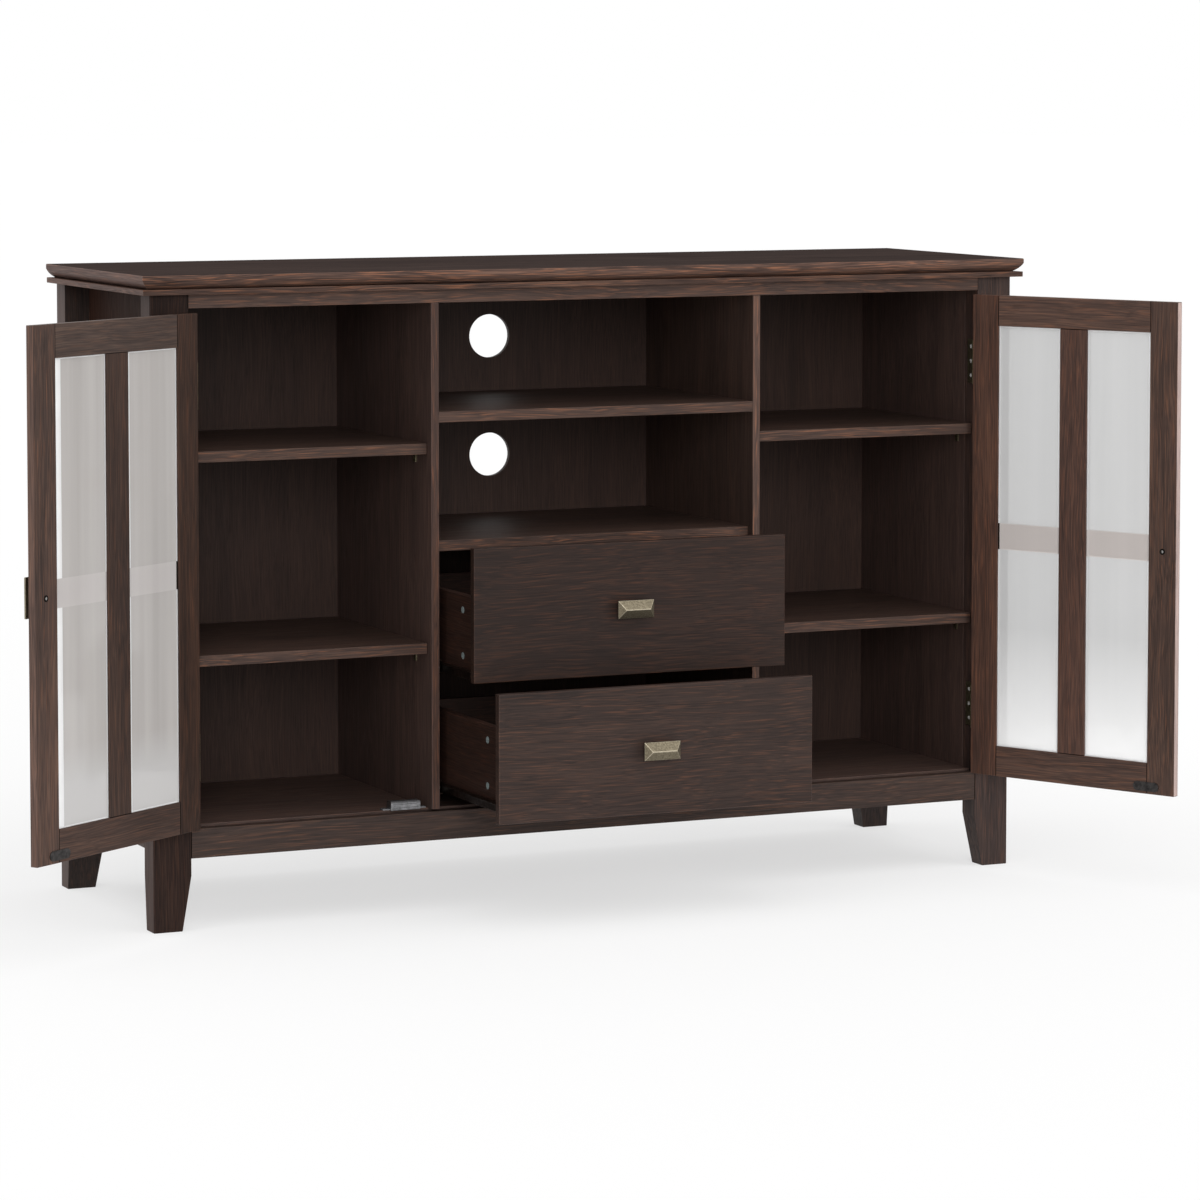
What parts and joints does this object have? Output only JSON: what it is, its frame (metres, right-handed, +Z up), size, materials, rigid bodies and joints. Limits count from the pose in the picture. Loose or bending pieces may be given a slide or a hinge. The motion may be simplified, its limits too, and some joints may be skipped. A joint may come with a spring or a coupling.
{
  "type": "television stand",
  "caption": "Tall television stand with framed glass doors over shelved side bays, centre drawers and open media shelves, on tapered corner posts.",
  "frame": {"origin": "centre of the flat top face where the television stands, 0.888 m above the floor", "axes": "+X to the right seen from the front, +Y to the back so that doors and drawers face -Y, +Z up"},
  "size_m": [1.6569, 0.7278, 0.888],
  "materials": {
    "wood_top": "satin dark walnut stain",
    "wood_upright": "satin dark walnut stain, upright grain",
    "wood_across": "satin dark walnut stain, level grain",
    "wood_deep": "satin dark walnut stain, grain front to back",
    "left_door_across": "satin dark walnut stain, level grain",
    "right_door_across": "satin dark walnut stain, level grain",
    "wood_panel": "satin dark walnut stain, upright grain",
    "wood_shelf": "satin dark walnut stain, level grain",
    "drawer_wood": "satin dark stain",
    "back_board": "matt dark board",
    "door_glass": "clear",
    "pull_brass": "aged, with bright worn edges",
    "hinge_bronze": "dark bronze",
    "strike_steel": "dark plated",
    "catch_metal": "satin grey",
    "runner_steel": "dark brown powder coat",
    "bracket_steel": "plated"
  },
  "bodies": {
    "carcass": {"top_slab": "wood_top", "sub_top": "wood_top", "post_front_left": "wood_upright", "post_front_right": "wood_upright", "post_back_left": "wood_upright", "post_back_right": "wood_upright", "front_top_rail": "wood_across", "front_bottom_rail": "wood_across", "back_rails": "wood_across", "side_rails": "wood_deep", "side_panel_left": "wood_panel", "side_panel_right": "wood_panel", "divider_left": "wood_panel", "divider_right": "wood_panel", "carcass_top_panel": "wood_shelf", "bottom_panel": "wood_shelf", "centre_shelf": "wood_shelf", "drawer_deck": "wood_shelf", "left_shelf_lower": "wood_shelf", "right_shelf_lower": "wood_shelf", "left_shelf_upper": "wood_shelf", "right_shelf_upper": "wood_shelf", "back_panel": "back_board", "shelf_brackets": "bracket_steel", "magnetic_catches": "catch_metal", "hinge_post_leaves": "hinge_bronze", "hinge_pins": "hinge_bronze", "cabinet_runners": "runner_steel"},
    "left_door": {"left_door_stile_hinge": "wood_upright", "left_door_stile_free": "wood_upright", "left_door_rail_top": "left_door_across", "left_door_rail_bottom": "left_door_across", "left_door_mullion": "wood_upright", "left_door_cross_bars": "left_door_across", "left_door_glass_panes": "door_glass", "left_door_handle": "pull_brass", "left_door_strike_plate": "strike_steel", "left_door_hinge_leaves": "hinge_bronze"},
    "right_door": {"right_door_stile_hinge": "wood_upright", "right_door_stile_free": "wood_upright", "right_door_rail_top": "right_door_across", "right_door_rail_bottom": "right_door_across", "right_door_mullion": "wood_upright", "right_door_cross_bars": "right_door_across", "right_door_glass_panes": "door_glass", "right_door_handle": "pull_brass", "right_door_strike_plate": "strike_steel", "right_door_hinge_leaves": "hinge_bronze"},
    "upper_drawer": {"upper_drawer_front": "wood_across", "upper_drawer_sides": "drawer_wood", "upper_drawer_back": "drawer_wood", "upper_drawer_bottom": "back_board", "upper_drawer_handle": "pull_brass", "upper_drawer_runners": "runner_steel"},
    "lower_drawer": {"lower_drawer_front": "wood_across", "lower_drawer_sides": "drawer_wood", "lower_drawer_back": "drawer_wood", "lower_drawer_bottom": "back_board", "lower_drawer_handle": "pull_brass", "lower_drawer_runners": "runner_steel"}
  },
  "joints": [
    {"name": "left_door_hinge", "type": "hinge", "parent": "carcass", "child": "left_door", "pos_m": [-0.6033, -0.1982, -0.398], "axis": [0, 0, -1], "range_deg": [-146.6, 23.4]},
    {"name": "right_door_hinge", "type": "hinge", "parent": "carcass", "child": "right_door", "pos_m": [0.6033, -0.1982, -0.398], "axis": [0, 0, 1], "range_deg": [-115.8, 54.2]},
    {"name": "upper_drawer_slide", "type": "slide", "parent": "carcass", "child": "upper_drawer", "axis": [0, -1, 0], "range_m": [-0.111, 0.139]},
    {"name": "lower_drawer_slide", "type": "slide", "parent": "carcass", "child": "lower_drawer", "axis": [0, -1, 0], "range_m": [-0.196, 0.054]}
  ]
}
